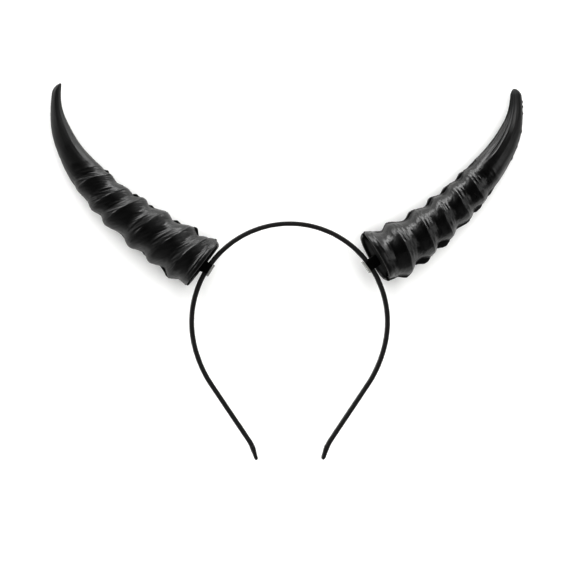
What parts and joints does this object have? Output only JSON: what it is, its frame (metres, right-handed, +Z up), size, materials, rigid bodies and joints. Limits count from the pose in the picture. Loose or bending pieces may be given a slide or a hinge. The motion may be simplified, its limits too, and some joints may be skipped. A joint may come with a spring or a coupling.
{
  "type": "ram horns headband",
  "caption": "Costume hair band carrying hollow ringed horns that curve outwards and up; each horn is held to the thin ribbon-covered band by a small saddle block and a clear plate.",
  "frame": {"origin": "on the surface that the part lies on, below the middle of its bounding box", "axes": "+X to the right, +Y from the band's open ends to its crest, +Z up, from the back of the part to its front"},
  "size_m": [0.2996, 0.2372, 0.0346],
  "materials": {
    "horn_plastic": "semi-gloss moulded black plastic, hollow halves joined along a seam",
    "ribbon_satin": "black satin ribbon glued round a springy plastic strip",
    "block_foam": "dull black dense foam plastic",
    "clear_plastic": "clear moulded plastic"
  },
  "bodies": {
    "root": {"headband": "ribbon_satin", "left_horn_front_shell": "horn_plastic", "left_horn_back_shell": "horn_plastic", "left_mount_block": "block_foam", "left_retaining_plate": "clear_plastic", "right_horn_front_shell": "horn_plastic", "right_horn_back_shell": "horn_plastic", "right_mount_block": "block_foam", "right_retaining_plate": "clear_plastic"}
  },
  "joints": []
}
